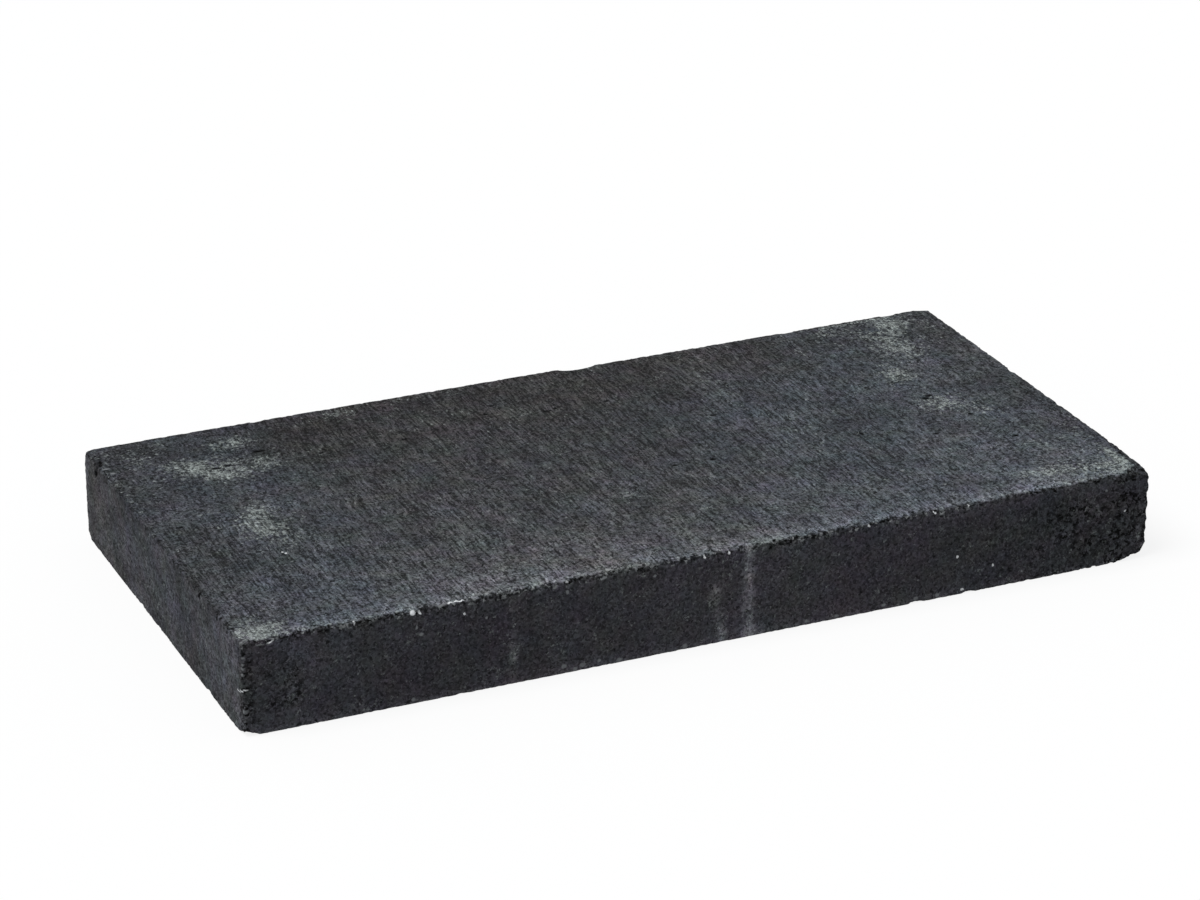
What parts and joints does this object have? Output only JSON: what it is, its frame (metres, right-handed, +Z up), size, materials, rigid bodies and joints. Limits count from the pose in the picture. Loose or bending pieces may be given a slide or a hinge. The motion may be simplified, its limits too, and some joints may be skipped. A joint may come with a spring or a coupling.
{
  "type": "wall coping stone",
  "caption": "Flat pressed-concrete coping stone with eased, worn arrises, bedded in mortar along the top of a wall.",
  "frame": {"origin": "centre of the bed face, the flat underside that is laid on the wall", "axes": "+X along the length of the wall, +Y across the wall towards the back long side, +Z up out of the top face"},
  "size_m": [0.5, 0.25, 0.05],
  "materials": {
    "concrete": "matte, fine-grained, weathered"
  },
  "bodies": {
    "root": {"coping_stone": "concrete"}
  },
  "joints": []
}
